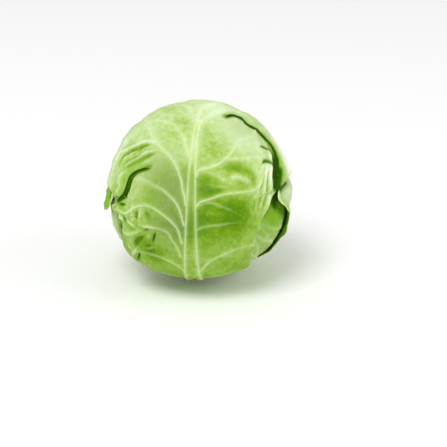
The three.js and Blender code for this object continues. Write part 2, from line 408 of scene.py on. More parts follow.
def globe(*places):
    """Directions from places as degrees round from the front (to the right) and degrees up."""
    round_, up = np.radians(np.array(places, float)).T
    return np.stack([np.sin(round_) * np.cos(up), -np.cos(round_) * np.cos(up), np.sin(up)], -1)


class Ridge:
    """A raised line (or a sunk one, with a height below 0) that tapers from its first point on:
    height times exp(-(distance / width)^2), with the height and width fading along its length."""

    def __init__(self, directions, height, width, fade=0.4, ends=0.0):
        self.curve = Curve(directions)
        self.height, self.width, self.fade, self.ends = height, width, fade, ends

    def at(self, d):
        """The ridge's own rise, and the distance outside its edge, which draws in towards its tip, for
        each direction. Its two ends sink away over a length."""
        _, along, away = self.curve.near(d)
        left_over = 1 - (1 - self.fade) * along / self.curve.length
        if self.ends:
            left_over = left_over * smooth(along, -2, self.ends)
            left_over = left_over * smooth(self.curve.length - along, -2, self.ends)
        width = self.width * np.maximum(left_over, 0.5)
        rise = self.height * left_over * np.exp(-((away / np.maximum(width, 0.9)) ** 2))
        return rise, away - width * 0.3 + 1.2 * smooth(along / self.curve.length, 0.45, 1)


class Pleat:
    """A pleat: the outer lobe of a leaf folded over the inner one along a lip. Across the lip the
    leaf runs on under the lobe, doubles back to the lip and turns outward again, so its place is
    q + w (S(q) - g(q)), where g flips from -1 to 1 within the fold and S over a broad stretch, and
    its height climbs from a hollow below the lip to a crest on the lobe."""

    FOLD = 2.4
    EASE = 13.0
    CREST_REACH = 16.0
    HOLLOW_REACH = 5.0

    def __init__(self, directions, side, overlap, crest, hollow, lip, dark, grow=15.0):
        self.curve = Curve(directions)
        self.side, self.overlap, self.crest, self.hollow = side, overlap, crest, hollow
        self.lip, self.dark, self.grow = lip, dark, grow

    def at(self, d):
        """The folded directions, the rise, how far each is onto the lobe (0 below, 1 above), and how
        near it is to the lip (1 on it)."""
        left, along, away = self.curve.near(d)
        nearest = np.argmax(d.reshape(-1, 3) @ self.curve.points.T, axis=1)
        outward = self.side * self.curve.left[nearest].reshape(d.shape)
        q = self.side * left
        beyond_end = np.sqrt(np.maximum(away**2 - left**2, 0)) * (along > self.curve.length / 2)
        grown = smooth(along, 0.5, self.grow) * (1 - smooth(beyond_end, 0, 8))
        w = self.overlap * grown
        start = 0.85 * w - 0.75 * self.FOLD
        lobe = smooth(q, start - self.FOLD, start + self.FOLD)
        broad = 2 * smooth(q, start - self.EASE, start + self.EASE) - 1
        shift = w * (broad - (2 * lobe - 1))
        folded = unit(d + outward * (shift / HEAD_RADIUS)[..., None])
        crest = self.crest * lobe * np.exp(-np.maximum(q - start, 0) / self.CREST_REACH)
        hollow = self.hollow * (1 - lobe) * np.exp(-np.maximum(start - q, 0) / self.HOLLOW_REACH)
        past_lip = np.maximum(q - start - self.FOLD, 0)
        near_lip = np.exp(-((past_lip / self.lip) ** 2)) * (q > start - self.FOLD)
        return folded, grown * (crest - hollow), lobe * grown, grown * near_lip

    def shade(self, d, lobe):
        """The painted shade under the lip, 0 to 1, fading at both ends."""
        _, along, away = self.curve.near(d)
        ends = smooth(along, 0, 10) * smooth(self.curve.length - along, -6, 3)
        return (1 - lobe) * ends * np.exp(-((away / self.dark) ** 2))


# Blades' thickness, and how much less it is at a margin, over a width inward.
FRONT_BLADE = 0.75
WRAPPER_BLADE = 0.7
MARGIN_THINNING = 0.3
THIN_WIDTH = 5.0
# Midribs' half-width at foot and at tip, and height. A vein lower than the height after is thin.
FRONT_MIDRIB = (9.5, 1.2, 2.4)
WRAPPER_MIDRIB = (9.0, 1.2, 2.2)
THIN_VEIN = 1.1
# The share of its paleness that a leaf loses where it has painted shade or a painted glow of light.
DEEP_TONE = 0.85
# The front leaf's midrib, from its foot over the crown.
MIDRIB = Curve(globe((-4, -74), (-5, -45), (-5, -20), (-4.6, 8), (-4.4, 30), (-3.4, 52), (-1, 68),
                     (6, 79), (60, 84), (120, 76)))

# Its side veins: (height, half-width, points of the view).
FRONT_VEINS = [
    (0.7, 1.2, [(194, 122), (193, 113), (190, 108), (185, 105.5), (178, 104.5), (170, 106)]),
    (1.0, 1.5, [(189, 158), (187, 148), (185, 140), (182, 134), (177, 128), (173, 123.5), (166, 121),
        (158, 120.5), (148, 121)]),
    (1.5, 2.1, [(186, 205), (185, 197), (183, 190), (182, 182), (180, 175), (178, 169), (175, 163),
        (171, 157), (166, 152), (161, 147), (157, 141), (152, 135), (150, 128), (147, 120), (141, 113)]),
    (1.1, 1.6, [(184, 225), (181, 214), (179, 208), (175, 201), (170, 196), (165, 191), (160, 188),
        (152, 184), (146, 181), (140, 178), (131, 177)]),
    (1.1, 1.6, [(182, 243), (178, 230), (172, 222), (165, 216), (157, 210), (150, 206), (143, 204.5),
        (134, 207), (127, 212)]),
    (0.9, 1.5, [(181, 256), (177, 247), (172, 240), (168, 233), (160, 229), (150, 227), (140, 225)]),
    (0.9, 1.7, [(198, 122), (200, 114), (203, 109), (207, 105.5), (212, 103.5), (222, 103)]),
    (1.0, 1.6, [(198, 140), (200, 130), (201, 125), (204, 120), (209, 116), (215, 113), (222, 111.5),
        (232, 111), (242, 114), (252, 119)]),
    (1.4, 1.9, [(197, 176), (199, 170), (205, 169), (212, 167), (218, 164.5), (222, 162), (225, 159),
        (229, 156), (232, 152), (235, 148), (238, 143), (241, 140), (246, 138), (255, 136)]),
    (0.9, 1.3, [(222, 161.5), (230, 159), (238, 158.8), (247, 158.5), (262, 157)]),
    (0.5, 0.9, [(199, 172), (207, 172), (215, 174), (222, 178), (227, 181), (240, 186)]),
    (1.1, 1.7, [(197, 206), (200, 202), (207, 200), (213, 198), (220, 195.5), (227, 194), (235, 193),
        (243, 192), (250, 191.5), (256, 190), (259, 187), (262, 183), (264, 178), (266, 172),
        (268, 166)]),
    (0.45, 1.3, [(199, 206), (205, 203), (213, 203), (220, 206), (228, 209), (236, 213), (244, 218)]),
    (0.6, 1.4, [(197, 230), (203, 227), (210, 226), (220, 225), (230, 223.5), (240, 222)]),
]
# And those on its hidden parts, as degrees round and degrees up.
FRONT_HIDDEN_VEINS = [
    (0.9, 1.5, [(-8, -38), (-16, -29), (-28, -24), (-42, -24), (-56, -30)]),
    (0.9, 1.5, [(-8, -55), (-22, -48), (-42, -45), (-62, -48)]),
    (0.9, 1.5, [(-1, -36), (8, -25), (20, -19), (34, -17), (44, -19)]),
    (0.9, 1.5, [(-1, -54), (14, -46), (34, -41), (54, -42)]),
    (0.9, 1.4, [(-86, 56), (-94, 57), (-104, 56)]),
    (0.8, 1.2, [(-78, 38), (-88, 38), (-96, 34)]),
    (0.8, 1.3, [(66, 50), (80, 50), (94, 44)]),
    (0.7, 1.2, [(72, 60), (92, 64), (112, 60)]),
]
# Puckers: (height, width, points of the view). Hollows have heights below 0.
FRONT_FOLDS = [
    (1.6, 1.9, [(158, 143.5), (150, 141.5), (145.6, 141.3), (139.4, 143.5), (135.2, 145.6),
        (129, 148.9), (124.9, 150.6), (120.7, 152), (118, 157.5), (116.8, 164)]),
    (-2.0, 1.8, [(152, 144.3), (147, 144.6), (141.5, 146.4), (135.7, 148.3), (129, 151.9),
        (125.7, 154), (122.4, 158), (120.3, 162.5), (120, 168)]),
    (-1.2, 1.5, [(143.2, 145.8), (140.5, 149), (137.3, 152.4)]),
    (1.3, 1.3, [(137, 150), (134, 151.8), (131, 154.6), (126.7, 157.2), (124.9, 160.8), (123, 165)]),
    (-1.1, 1.3, [(141, 154.3), (136.5, 156.4), (131.5, 159.2), (127, 161.4), (124.5, 164.5)]),
    (1.6, 1.4, [(155, 150.4), (149.8, 151.8), (144.8, 153.5), (139.8, 156.4), (135.2, 159.3),
        (129, 162.8), (125.5, 166)]),
    (-1.8, 1.6, [(157, 152.7), (149.8, 154.8), (145.6, 157.2), (140.6, 159.4), (135.7, 161.9),
        (129, 165.4), (124.9, 168.4)]),
    (1.4, 1.6, [(153.9, 158.9), (146.8, 162.2), (141.5, 165.1), (135.2, 169.2), (130.5, 172.5)]),
    (-1.3, 1.3, [(154, 163.5), (151.4, 164.9), (147.5, 166.2)]),
    (1.3, 1.7, [(127, 168.5), (124, 171.5), (120.7, 175), (118.9, 179.5), (119.6, 184.5), (119, 188.5)]),
    (-1.2, 1.4, [(125.3, 175), (123.6, 178.5), (122.2, 183), (121.8, 188)]),
    (1.9, 2.0, [(120.5, 184), (119.2, 188), (117.8, 194), (116.2, 198.5), (114.6, 202.5),
        (112.6, 207.7)]),
    (1.2, 1.2, [(115, 208.5), (118.8, 209.6), (125.1, 212.7), (129.3, 211.4), (133.5, 208.2),
        (138.7, 205.8), (143.4, 205.6), (150, 206.3)]),
    (1.8, 1.6, [(118.6, 211), (120.4, 215.6), (125.1, 218.7), (129.3, 221.8), (133.5, 226.4),
        (137.2, 229)]),
    (1.3, 1.2, [(132.4, 209.5), (132, 215), (132.2, 222.5)]),
    (1.7, 1.3, [(140.6, 207.5), (140, 214), (138.7, 223.4)]),
    (-2.3, 1.7, [(136.7, 208.5), (136.1, 214), (135.9, 221.5)]),
    (-1.7, 1.3, [(129, 213.5), (129.3, 218)]),
    (-1.8, 3.0, [(144.5, 208.5), (146.5, 214), (149, 220), (150.5, 224)]),
    (-2.4, 1.8, [(125, 221), (126.7, 225), (128, 228)]),
    (1.3, 2.1, [(123, 226), (124.5, 231), (129, 233.5), (136, 232), (142, 229.5)]),
    (-2.6, 2.6, [(134.5, 245.5), (136.6, 241.2), (140, 238.5), (144, 235.3)]),
    (1.3, 1.5, [(141, 226.5), (145.5, 226), (152.3, 227), (160.1, 228.6)]),
    (0.9, 1.8, [(150, 231), (148.5, 236), (147, 242)]),
    (-1.8, 2.3, [(146, 252.5), (149, 251.5), (153, 250.5)]),
    (1.4, 1.4, [(138.5, 246.5), (135.5, 249.5), (133.5, 253.5), (134, 258)]),
    (1.2, 1.2, [(139.7, 248.5), (143.4, 251.5), (147, 254)]),
    (1.2, 1.8, [(126, 240), (129.5, 246), (133, 252)]),
    (1.3, 1.6, [(144, 247.8), (150, 247.6), (157, 247)]),
    (1.5, 2.2, [(268, 150), (271, 158), (272, 168), (271, 178), (271, 188), (269, 198), (266, 210)]),
    (-1.0, 1.5, [(266, 165), (265, 176), (262, 186), (258, 194)]),
    (-1.2, 1.5, [(269.5, 168), (268.6, 176), (267.4, 188), (265.5, 200), (262, 212)]),
    (0.9, 1.4, [(267.5, 166), (266.5, 178), (265, 190), (261, 204)]),
    (0.8, 1.3, [(263, 176), (260, 188), (257, 200), (256, 210)]),
    (-1.0, 1.3, [(263, 190), (261, 200), (258, 212)]),
    (-0.8, 1.3, [(259, 193), (256, 203), (253, 214)]),
    (-1.4, 5.0, [(222, 168), (232, 167.5), (241, 168), (249, 171), (254, 178), (256, 187)]),
    (1.2, 3.5, [(229, 179), (238, 177), (245, 180), (250, 187)]),
    (0.8, 2.2, [(206, 184), (218, 187), (230, 188)]),
    (-0.8, 2.4, [(204, 193), (216, 191), (230, 190)]),
    (0.7, 2.4, [(204, 214), (216, 214), (228, 218)]),
]
# Narrow creases with painted shade inside: (depth, half-width, points of the view).
FRONT_CREASES = [
    (1.4, 1.2, [(259, 146.6), (263.9, 147.4), (268.6, 148.9), (272, 151)]),
    (1.6, 1.4, [(261.5, 165), (263.2, 162.8), (265, 161.6), (266.6, 161.4), (269.9, 162.2),
        (272.6, 164.2), (276, 166.5)]),
    (1.5, 1.2, [(117.5, 204.3), (121, 203.8), (126, 204.6)]),
    (1.5, 1.1, [(155.6, 231.5), (153.3, 237.5), (151.8, 244.9)]),
    (1.0, 0.9, [(144.5, 245.8), (148, 245.3), (152, 245.6)]),
    (1.2, 0.9, [(143.6, 230.6), (146, 229.2), (149.5, 228.6)]),
    (1.4, 1.1, [(139.6, 251.5), (138.6, 255.5), (137.7, 260)]),
    (1.0, 1.0, [(123, 214.5), (126, 218.6), (129, 223.5)]),
]
# Patches of the front leaf that are paler (above 0) or deeper green: (amount, point of the view,
# radius). Some are the leaf's own tone and some are painted light and shade: painted highlights on the
# upper right lobe, pale painted rim light on the left, painted shade low on the right.
FRONT_TONES = [
    (-0.12, (180, 108), 14), (0.06, (240, 135), 20), (0.04, (150, 122), 24), (0.22, (216, 106), 16),
    (0.16, (252, 142), 14), (0.85, (282, 150), 15), (0.72, (289, 172), 14), (0.36, (268, 172), 10),
    (0.12, (258, 196), 10), (-0.17, (243, 183), 8), (-0.14, (240, 170), 10), (-0.42, (207, 186), 13),
    (-0.40, (216, 216), 22), (-0.38, (238, 214), 17), (-0.34, (192, 226), 15), (-0.24, (191, 174), 11),
    (-0.32, (172, 185), 16), (-0.25, (170, 225), 15), (-0.20, (178, 123), 12), (-0.14, (213, 142), 14),
    (-0.06, (135, 155), 12), (-0.16, (150, 198), 14), (-0.40, (151, 251), 12),
    (-0.12, (195, 132), 12), (0.36, (114, 160), 13), (0.16, (124, 142), 14), (0.28, (111, 178), 11),
    (0.04, (128, 224), 10), (-0.10, (226, 152), 12),
]
# Patches with more of the grey-green waxy bloom.
FRONT_WAX = [(0.9, (172, 192), 22), (0.8, (168, 228), 17), (0.4, (158, 165), 20), (0.3, (240, 130), 20)]
# Open channels beside the pleats' lips: depth, how dark their painted shade is, half-width, how soft their
# sides are, the length over which they open, and the points of the view along their middle.
Channel = namedtuple("Channel", "depth dark half soft opening pixels")
CHANNEL_CRACK = 1.2
CHANNELS = [
    Channel(4.0, 0.46, 6.6, 2.6, 26.0, [(264, 138.8), (267.5, 142.6), (271.8, 149.5), (275, 155.5),
                                        (277.2, 162), (277.6, 170), (276.8, 180), (275.2, 187)]),
    Channel(3.0, 0.85, 3.3, 3.4, 16.0, [(141, 171), (136, 173.6), (131.4, 177.5), (129, 182), (127.4, 187),
                                        (125, 193), (121, 199.5)]),
]
# Each leaf's own places, as patches of (amount, point of the view, radius). Bare margins that curl
# outward:
CURLS = {
    "back_right_leaf": [(4.5, (284, 202), 20)],
    "back_left_leaf": [(1.5, (108, 201), 16)],
    "front_leaf": [(3.6, (291.5, 175), 9), (-1.6, (120, 226), 13), (-1.6, (270, 205), 15)],
}
# Bare margins with a broad pale rim, within a patch of (point of the view, radius):
RIMS = {"back_right_leaf": ((281, 200), 24), "back_left_leaf": ((110, 200), 18)}
# Swollen places, and flatter ones below 0:
SWELLS = {
    "back_right_leaf": [(4.5, (290, 186), 14)],
    "left_leaf": [(13.0, (109, 200), 10), (1.2, (114, 226), 18), (4.0, (119, 224), 9)],
    "back_left_leaf": [(3.6, (106.5, 200), 14)],
    "right_leaf": [(3.0, (283, 212), 20), (3.0, (273, 203), 12)],
    "front_leaf": [(-2.6, (109, 164), 17)],
}
# Places painted bright green for the light that comes through the leaves onto a covered leaf:
GLOWS = {"right_leaf": [(1, (278, 206), 23)], "back_left_leaf": [(1, (108, 200), 15)]}
# Paler places on the wrapper leaves, with less painted shade:
PALER = {
    "back_right_leaf": [(0.45, (290, 192), 16)],
    "left_leaf": [(0.20, (114, 224), 12), (0.30, (108.5, 199), 15)],
    "right_leaf": [(0.0, (288, 214), 26)],
}
# Places where a leaf has a wider strip of painted shade past the margins over it:
WIDE_SHADES = {"left_leaf": [(23.0, (116.5, 229), 15)], "right_leaf": [(15.0, (274, 205), 18)]}
# How far in from a margin it curls, and the pale rim's width.
CURL_WIDTH = 15.0
RIM_WIDTH = 2.6
# Strokes of painted shade along folds and gaps in a leaf: (share, half-width, points of the view).
SHADE_STROKES = {
    "back_right_leaf": [(0.8, 4.6, [(281.5, 188.5), (284, 185.5), (286.6, 181)])],
    "back_left_leaf": [(0.5, 3.2, [(109.6, 187), (109.8, 192), (109.6, 196)])],
    "front_leaf": [(0.95, 3.9, [(279.4, 170), (279.6, 176), (279.0, 184), (277.0, 190)])],
}

LEFT_PLEAT = Pleat(
    on_head([(155, 167), (150, 166.8), (144, 167.8), (137, 170.5), (130, 174.5), (126.5, 181), (124.5, 189),
             (121.5, 196), (118, 200)]),
    side=-1, overlap=3.6, crest=-0.2, hollow=2.8, lip=6.0, dark=2.6)
RIGHT_PLEAT = Pleat(
    on_head([(221, 117.5), (227, 115.6), (233, 114.8), (240, 116.5), (248.5, 123.5), (256.5, 128.5),
             (264, 135.5), (270.4, 143.5), (275.2, 150.5), (278.4, 157.5), (280, 166), (280.3, 174)]),
    side=1, overlap=3.4, crest=0.8, hollow=2.8, lip=3.0, dark=2.9)


def front_folds(d):
    """The rise of the front leaf's puckers together."""
    rise = np.zeros(d.shape[:-1])
    for height, width, pixels in FRONT_FOLDS:
        rise += Ridge(on_head(pixels), height, width, 0.75, 7.0).at(d)[0]
    return rise


def channel_share(channel, d, margin=0.0):
    """1 on a channel's flat floor and 0 outside it. It opens from a crack to its full half-width,
    which a margin adds to, and closes over its last stretch."""
    line = Curve(on_head(channel.pixels))
    _, along, away = line.near(d)
    open_share = smooth(along, 3, channel.opening) * smooth(line.length - along, -6, 8)
    half = margin + CHANNEL_CRACK + (channel.half - CHANNEL_CRACK) * open_share
    return smooth(along, 0, 6) * (1 - smooth(away, half - channel.soft, half))


def front_creases(d):
    """The front leaf's narrow creases: their rise, 0 or less, and the painted shade in them, 0 to 1."""
    rise, dark = np.zeros(d.shape[:-1]), np.zeros(d.shape[:-1])
    for depth, width, pixels in FRONT_CREASES:
        own = Ridge(on_head(pixels), 1.0, width, 0.8, 6.0).at(d)[0]
        wide = Ridge(on_head(pixels), 1.0, 2.6 * width, 0.8, 6.0).at(d)[0]
        rise -= depth * own
        dark = np.maximum(dark, 0.5 * own + 0.26 * wide)
    return rise, dark


def front_press(d):
    """How far the front leaf's hollows push the leaves under it inward: 0 or less."""
    push = np.minimum(front_folds(d), 0)
    for channel in CHANNELS:
        push -= channel.depth * channel_share(channel, d, 2.5)
    for pleat in (LEFT_PLEAT, RIGHT_PLEAT):
        _, along, away = pleat.curve.near(d)
        ends = smooth(along, 0, pleat.grow) * smooth(pleat.curve.length - along, 2, 16)
        push -= pleat.hollow * ends * np.exp(-((away / 9) ** 2))
    return push


def midrib_profile(d, line, foot, tip, height):
    """A broad flat rib with soft sides and a thin raised line along each edge: its rise, the distance
    outside its edge, and the distance outside the nearer edge line. Its half-width goes from foot to
    tip as (1 - share)^1.6 along the line."""
    _, along, away = line.near(d)
    share = along / line.length
    half = tip + (foot - tip) * (1 - share) ** 1.6
    raised = smooth(half - away, -2.0, 2.2)
    from_edge = np.abs(away - 0.9 * half)
    flat = raised * (1 - 0.18 * np.exp(-((away / (0.5 * half)) ** 2)))
    thick = height * (1 - 0.75 * share) * (0.4 + 0.6 * smooth(share, 0, 0.25))
    return thick * (flat + 0.25 * np.exp(-from_edge**2)), away - half, from_edge - 0.35


def side_veins(leaf, seed):
    """Pinnate veins of a wrapper leaf, as (height, width, directions): from feet spaced along the
    midrib, each bows outward and up to its margin, and forks once on its outer half."""
    rng = np.random.default_rng(seed)
    veins = []
    for foot in np.linspace(-58, 70, 8):
        for side in (-1, 1):
            q = np.linspace(0, 1, 7)
            low = foot + 5 * side + rng.uniform(-3, 3)
            bow = rng.uniform(22, 34) * (1 - foot / 160)
            out = side * (1.5 + rng.uniform(56, 66) * q)
            up = low + bow * q ** rng.uniform(0.75, 1.0) + 2.0 * np.sin(q * 9 + rng.uniform(0, 6))
            veins.append((1.0, 1.6, limited(leaf, out, up)))
            at = rng.uniform(0.3, 0.5)
            fork_out = side * (1.5 + 60 * (at + (0.95 - at) * q))
            fork_up = np.interp(at, q, up) + (bow * 0.9 + 9) * q * (1 - at) + rng.uniform(6, 12) * q
            veins.append((0.6, 1.1, limited(leaf, fork_out, fork_up)))
    return veins


def limited(leaf, out, up):
    """Directions from degrees to the right and up on a leaf's chart, kept just inside its margin."""
    arc, bearing = np.radians(np.hypot(out, up)), np.arctan2(out, up)
    return leaf.direction(np.minimum(arc, 0.96 * leaf.reach(bearing)), bearing)


def margin_ripple(seed, size):
    """The margin's small in-and-out waves round the leaf, in millimetres."""
    rng = np.random.default_rng(seed)
    counts = rng.integers(7, 31, 6)
    phases = rng.uniform(0, 2 * math.pi, 6)
    return lambda bearing: size * sum(np.sin(n * bearing + p) / 3 for n, p in zip(counts, phases))


def swell(leaf, d):
    """The rise of a leaf's swollen and flatter places."""
    return patches(SWELLS.get(leaf.name, []), d)


def curl(leaf, d, inside):
    """The rise of a leaf's margin where it curls outward."""
    return patches(CURLS.get(leaf.name, []), d) * (1 - smooth(inside, 0, CURL_WIDTH)) ** 1.5


def with_shade_strokes(leaf, d, painted_shade):
    """The painted shade at each point, with the leaf's strokes of painted shade along folds and gaps as
    well.
    """
    for share, half, pixels in SHADE_STROKES.get(leaf.name, []):
        painted_shade = np.maximum(painted_shade, share * stroke(d, half, pixels))
    return painted_shade


def veined(veins, d, rib, fade=0.4):
    """The rise of veins given as (height, half-width, directions), and the distance outside the
    nearest rib or vein, where a thin vein counts as further away."""
    rise = np.zeros(d.shape[:-1])
    for height, width, directions in veins:
        own, gap = Ridge(directions, height, width, fade).at(d)
        rise += own
        rib = np.minimum(rib, gap + max(0, THIN_VEIN - height))
    return rise, rib


def puckers(d, seed, *sizes):
    """Uneven rise from soft noise of each (height, size), with seeds from the given one on."""
    return sum(height * waves(d, size, seed + i) for i, (height, size) in enumerate(sizes))


def ruffle(d, inside, seed, width, size, swing):
    """The share of a margin's ruffles: it fades inward over a width and swings with soft noise."""
    return np.exp(-np.maximum(inside, 0) / width) * (0.6 + swing * waves(d, size, seed))


def leaf_piece(leaf, d, radius, chart, blade, inside, rib, body, tone, wax, lip, painted_shade):
    """A leaf's mesh from its surface's distance in each direction and a blade's thickness, thinner at
    the margin, with the fields that its finish reads. Its chart drawn flat, with the midrib up the
    middle, is its UV map, 1 for each 100 mm."""
    arc, bearing = chart
    flat = np.stack([np.sin(bearing), np.cos(bearing)], -1) * (arc * HEAD_RADIUS / 100)[..., None]
    thickness = blade - MARGIN_THINNING * smooth(inside, THIN_WIDTH, 0)
    fields = {"rib": np.clip(rib, -4, 14), "body": np.clip(body, -9, 9), "tone": tone,
              "wax": np.clip(wax, 0, 1), "lip": lip, "painted_shade": painted_shade, "edge": np.clip(inside, -1, 14)}
    return shell_mesh(leaf.name + "_blade", MIDDLE + d * radius[..., None], thickness, fields, flat)


def make_front_leaf(cells):
    """The front leaf: its grid is folded at both pleats, then the head's radius is raised by midrib,
    veins, folds and puckers, and sunk by creases and channels."""
    start, *chart = leaf_grid(FRONT, cells, margin_ripple(3, 1.0))
    folded, left_rise, left_lobe, left_lip = LEFT_PLEAT.at(start)
    d, right_rise, right_lobe, right_lip = RIGHT_PLEAT.at(folded)
    inside = -FRONT.past_margin(start)
    rise = left_rise + right_rise + turn_out(FRONT, start, inside, 1.0)

    midrib, body, rib = midrib_profile(d, MIDRIB, *FRONT_MIDRIB)
    veins = [(height, width, on_head(pixels)) for height, width, pixels in FRONT_VEINS]
    veins += [(height, width, globe(*places)) for height, width, places in FRONT_HIDDEN_VEINS]
    vein_rise, rib = veined(veins, d, rib)
    folds = front_folds(d)
    creases, painted_shade = front_creases(d)
    rise += midrib + vein_rise + folds + creases + swell(FRONT, d) + curl(FRONT, d, inside)
    # Channel floors sink, and get painted shade.
    for channel, lobe in zip(CHANNELS, (right_lobe, left_lobe)):
        floor = channel_share(channel, d) * (1 - lobe)
        rise -= channel.depth * floor
        painted_shade = np.maximum(painted_shade, channel.dark * smooth(floor, 0, 0.9))
    open_blade = smooth(np.minimum(rib, body), 0, 6)
    rise += open_blade * puckers(d, 11, (0.45, 26), (0.28, 11)) + open_blade * puckers(d, 14, (0.12, 6))
    low_band = smooth(d[..., 2], -0.7, -0.3) * smooth(-d[..., 2], -0.25, -0.05)
    rise += ruffle(d, inside, 13, 5, 16, 0.5) * (0.4 + 0.9 * low_band)

    # Painted shade under the pleats' lips and along the leaf's strokes of painted shade.
    for pleat, lobe in ((LEFT_PLEAT, left_lobe), (RIGHT_PLEAT, right_lobe)):
        painted_shade = np.maximum(painted_shade, pleat.shade(d, lobe))
    painted_shade = with_shade_strokes(FRONT, d, painted_shade)
    # Tone: paler towards the top, by the patches and near veins; paler on fold ridges and deeper green in
    # fold hollows as painted light and shade.
    tone = 0.56 + 0.24 * d[..., 2] + patches(FRONT_TONES, d) + 0.10 * smooth(rib, 5, 0) + 0.24 * folds
    _, right_along, _ = RIGHT_PLEAT.curve.near(d)
    # Painted glow of light through the folded leaf along both pleats' lips.
    lip = np.clip(0.8 * left_lip + right_lip * (0.4 + 0.6 * smooth(right_along, 45, 90)), 0, 1)
    return leaf_piece(FRONT, d, head_radius(d) + rise, chart, FRONT_BLADE, inside, rib, body,
                      np.maximum(tone, 0.05) * (1 - DEEP_TONE * painted_shade), patches(FRONT_WAX, d) * (1 - painted_shade),
                      lip, painted_shade)


def make_wrapper(k, cells, seed):
    """A leaf under the front one: the radius at its depth, raised by midrib, pinnate veins, puckers
    and ruffled bare margins. Where it is covered its relief is pressed flat, and the front leaf's
    hollows push it in."""
    leaf = LEAVES[k]
    d, *chart = leaf_grid(leaf, cells, margin_ripple(seed, 1.6))
    inside = -leaf.past_margin(d)
    depth, shown, shade = layers_over(k, d)
    foot = [leaf.direction(math.radians(reach), math.pi) for reach in (75, 45, 20)]
    top = [leaf.direction(math.radians(reach), 0.02) for reach in (5, 35, 65, 92)]
    midrib, body, rib = midrib_profile(d, Curve(np.array(foot + top)), *WRAPPER_MIDRIB)
    vein_rise, rib = veined(side_veins(leaf, seed), d, rib, 0.35)
    rise = midrib * (0.25 + 0.75 * shown) + vein_rise * (0.2 + 0.8 * shown)
    open_blade = smooth(np.minimum(rib, body), 0, 6) * (0.15 + 0.85 * shown)
    rise += open_blade * puckers(d, seed + 1, (0.6, 30), (0.35, 12))
    ruffles = ruffle(d, inside, seed + 3, 6, 17, 0.55) * shown * smooth(d[..., 2], -0.8, -0.4)
    rise += (0.7 + 0.7 * leaf.turn) * ruffles
    rise += front_press(d) * np.clip(1.15 - 0.2 * depth, 0, 1) + turn_out(leaf, d, inside, shown)
    rise += curl(leaf, d, inside) + swell(leaf, d) * np.sqrt(shown)

    tone = 0.62 + 0.10 * d[..., 2] + 0.10 * waves(d, 60, seed + 4) + 0.12 * smooth(rib, 4, 0)
    tone += 0.35 * smooth(-d[..., 2], 0.55, 1)
    for amount, pixel, size in PALER.get(leaf.name, []):
        paler = spot(d, pixel, size)
        tone += amount * paler
        shade = shade * (1 - 0.8 * paler)
    wax = 0.35 + 0.25 * waves(d, 45, seed + 5)
    glow = patches(GLOWS.get(leaf.name, []), d)
    if leaf.name in RIMS:
        rib = np.minimum(rib, inside - RIM_WIDTH + 10 * (1 - spot(d, *RIMS[leaf.name])))
        glow = glow * smooth(inside, 1.2, 4.0)
    glow = np.clip(glow, 0, 1) * (1 - smooth(shade, 0.45, 0.8))
    # Painted shade past the margins over this leaf, less where it glows, with its own strokes of painted
    # shade; tinted is the share under painted shade or painted glow.
    painted_shade = with_shade_strokes(leaf, d, 0.9 * shade * (1 - 0.85 * glow))
    tinted = np.maximum(painted_shade, glow)
    radius = head_radius(d) - (LEAF_THICKNESS + LEAF_GAP) * depth + rise
    return leaf_piece(leaf, d, radius, chart, WRAPPER_BLADE, inside, rib, body,
                      tone * (1 - DEEP_TONE * tinted), wax * (1 - tinted), glow, painted_shade)


def turned_mesh(name, profile, shape, count, fields):
    """A closed surface from a profile of (radius, height) turned about the head's axis in count steps;
    the profile starts and ends on the axis. shape(radius, height, angle) gives the final points."""
    angle = np.linspace(0, 2 * math.pi, count, endpoint=False)
    radius, height = np.array(profile, float).T
    points = shape(radius[1:-1, None], height[1:-1, None], angle[None])
    rings = len(profile) - 2
    n = np.arange(rings * count).reshape(rings, count)
    onward = np.roll(n, -1, axis=1)
    faces = np.stack([n[:-1], onward[:-1], onward[1:], n[1:]], -1).reshape(-1, 4)
    poles = [shape(radius[i], height[i], np.zeros(1))[0] for i in (0, -1)]
    first, last = rings * count, rings * count + 1
    caps = np.concatenate([np.stack([onward[0], n[0], np.full(count, first)], -1),
                           np.stack([n[-1], onward[-1], np.full(count, last)], -1)])
    points = np.concatenate([points.reshape(-1, 3), poles]) * MM
    piece = mesh_object(name, points, faces, caps)
    for field, at in fields.items():
        add_field(piece, field, at(points / MM))
    return piece


def resample(profile, step):
    """A profile with points added along its straight runs, so that none is longer than a step."""
    profile = np.array(profile, float)
    pieces = [np.linspace(a, b, max(1, int(np.hypot(*(b - a)) / step)) + 1)[:-1]
              for a, b in zip(profile[:-1], profile[1:])]
    return np.concatenate(pieces + [profile[-1:]])


def make_stem():
    """The cut stump and core: knife cut with a sunk pith, woody rim, and ribs up its side where the
    leaves leave it."""
    profile = resample([(0, 0.9), (5, 0.8), (8, 0.25), (11, 0.05), (STEM_RADIUS - 1.5, 0),
                        (STEM_RADIUS - 0.4, 0.5), (STEM_RADIUS, 1.8), (STEM_RADIUS, 11.5),
                        (STEM_RADIUS - 1, 13.4), (13, 14.2), (4.4, 91), (3, 93), (0, 94)], 0.9)

    def shape(radius, height, angle):
        side = smooth(radius, 9, 15)
        uneven = 1 - side * (0.030 * (1 + np.sin(5 * angle + 0.6)) + 0.012 * (1 + np.sin(17 * angle))
                             + 0.012 * (1 - np.cos(height * 0.9 + 2 * np.sin(3 * angle))))
        saw = 0.16 * (1 - side) * (1 + np.sin(radius * 2.6 + 2 * np.sin(angle))) * smooth(6 - height, 0, 5)
        r = radius * uneven
        height = height + saw + 0 * angle
        return np.stack([MIDDLE[0] + r * np.cos(angle), MIDDLE[1] + r * np.sin(angle), height], -1)

    reach = {"radius": lambda p: np.hypot(p[:, 0] - MIDDLE[0], p[:, 1] - MIDDLE[1])}
    return turned_mesh("cut_stump", profile, shape, 120, reach)


